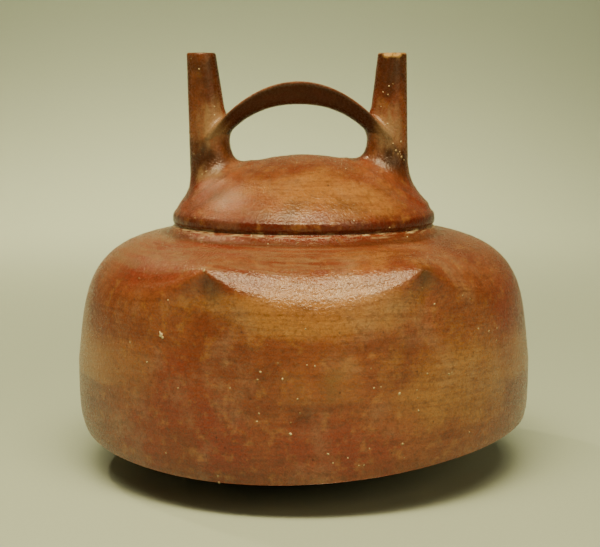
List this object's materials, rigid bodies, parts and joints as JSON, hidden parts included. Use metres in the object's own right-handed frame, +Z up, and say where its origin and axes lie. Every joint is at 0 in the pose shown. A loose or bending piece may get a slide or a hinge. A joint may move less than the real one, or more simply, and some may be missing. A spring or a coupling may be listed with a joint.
{
  "type": "double spout bottle",
  "caption": "Burnished red clay bottle: a squat hollow drum with pinched shoulder lugs, a domed collar, tapered spouts and a strap bridge between them.",
  "frame": {"origin": "centre of the flat foot, on the surface the bottle stands on", "axes": "+Z up, the spouts side by side along X, the front faces -Y"},
  "size_m": [0.184, 0.1838, 0.166],
  "materials": {
    "burnished_clay": "red slip burnished to a soft sheen"
  },
  "bodies": {
    "root": {"bottle": "burnished_clay"}
  },
  "joints": []
}
